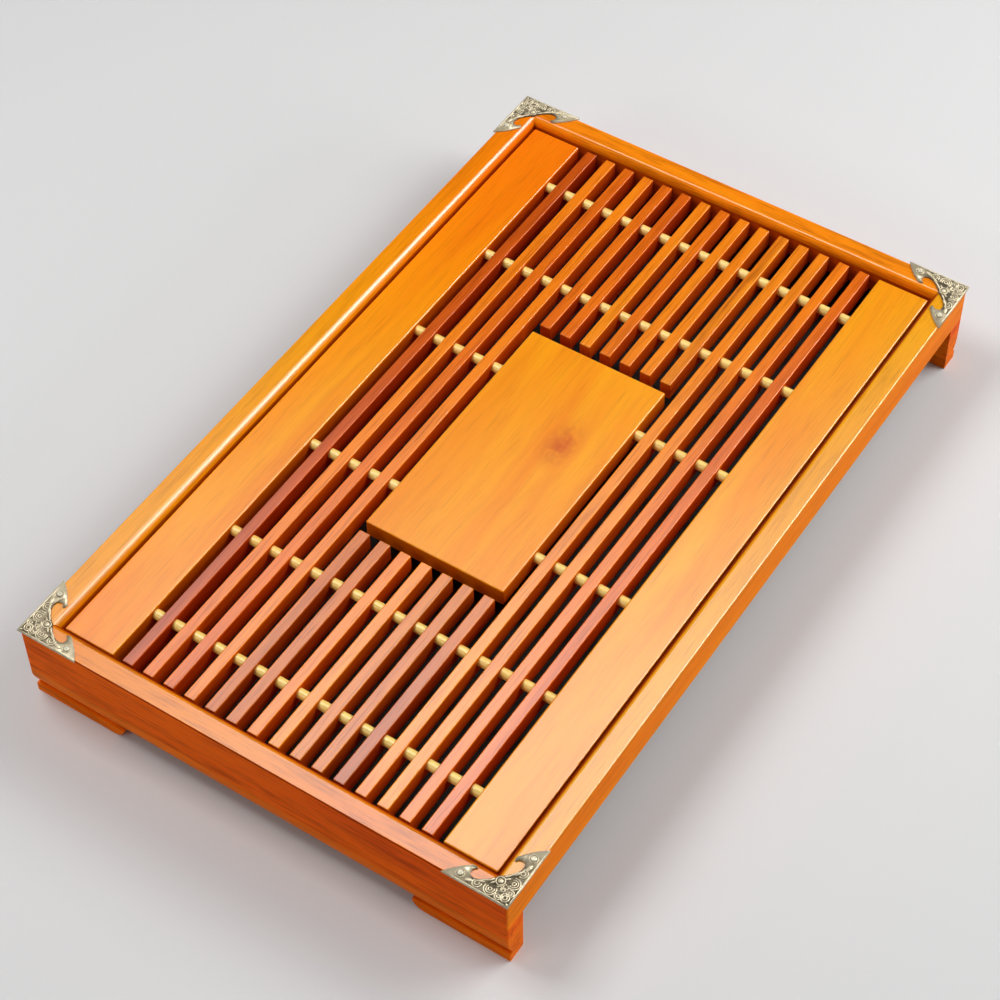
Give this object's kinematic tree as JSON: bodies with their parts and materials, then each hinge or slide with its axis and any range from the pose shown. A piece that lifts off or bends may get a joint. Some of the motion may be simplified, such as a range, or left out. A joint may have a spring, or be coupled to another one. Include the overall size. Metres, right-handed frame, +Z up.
{
  "type": "gongfu tea tray",
  "caption": "Rectangular wooden tea tray: slatted lift-off grate with a solid centre board over a lift-out water pan, in a frame with bracket feet and brass corner plates.",
  "frame": {"origin": "on the surface that the tray stands on, under the middle of the tray", "axes": "+X along the length towards the back end board, +Y towards the left rail, +Z up"},
  "size_m": [0.4516, 0.2816, 0.0537],
  "materials": {
    "frame_wood": "glossy orange-brown lacquer",
    "board_wood": "glossy golden-orange lacquer",
    "slat_wood": "glossy red-brown to orange lacquer",
    "cleat_wood": "plain sawn, thin lacquer",
    "pale_bamboo": "satin pale bamboo",
    "brass": "antique stamped brass, dark in the recesses",
    "pan_plastic": "satin black moulded plastic"
  },
  "bodies": {
    "frame": {"back_cleat": "cleat_wood", "back_end_board": "frame_wood", "corner_nails": "brass", "corner_plate_back_left": "brass", "corner_plate_back_right": "brass", "corner_plate_front_left": "brass", "corner_plate_front_right": "brass", "front_cleat": "cleat_wood", "front_end_board": "frame_wood", "left_cleat": "cleat_wood", "left_rail": "frame_wood", "right_cleat": "cleat_wood", "right_rail": "frame_wood"},
    "pan": {"water_pan": "pan_plastic"},
    "grate": {"back_slat_05": "slat_wood", "back_slat_06": "slat_wood", "back_slat_07": "slat_wood", "back_slat_08": "slat_wood", "back_slat_09": "slat_wood", "back_slat_10": "slat_wood", "back_slat_11": "slat_wood", "centre_board": "board_wood", "dowel_1": "pale_bamboo", "dowel_2": "pale_bamboo", "dowel_3": "pale_bamboo", "dowel_4": "pale_bamboo", "dowel_5": "pale_bamboo", "dowel_6": "pale_bamboo", "front_slat_05": "slat_wood", "front_slat_06": "slat_wood", "front_slat_07": "slat_wood", "front_slat_08": "slat_wood", "front_slat_09": "slat_wood", "front_slat_10": "slat_wood", "front_slat_11": "slat_wood", "left_board": "board_wood", "right_board": "board_wood", "slat_01": "slat_wood", "slat_02": "slat_wood", "slat_03": "slat_wood", "slat_04": "slat_wood", "slat_12": "slat_wood", "slat_13": "slat_wood", "slat_14": "slat_wood", "slat_15": "slat_wood"}
  },
  "joints": [
    {"name": "grate_lift", "type": "slide", "parent": "frame", "child": "grate", "axis": [0, 0, 1], "range_m": [0, 0.08]},
    {"name": "pan_lift", "type": "slide", "parent": "frame", "child": "pan", "axis": [0, 0, 1], "range_m": [0, 0.04]}
  ],
  "couplings": [
    {"joint": "pan_lift", "follows": "grate_lift", "ratio": 0.5}
  ]
}
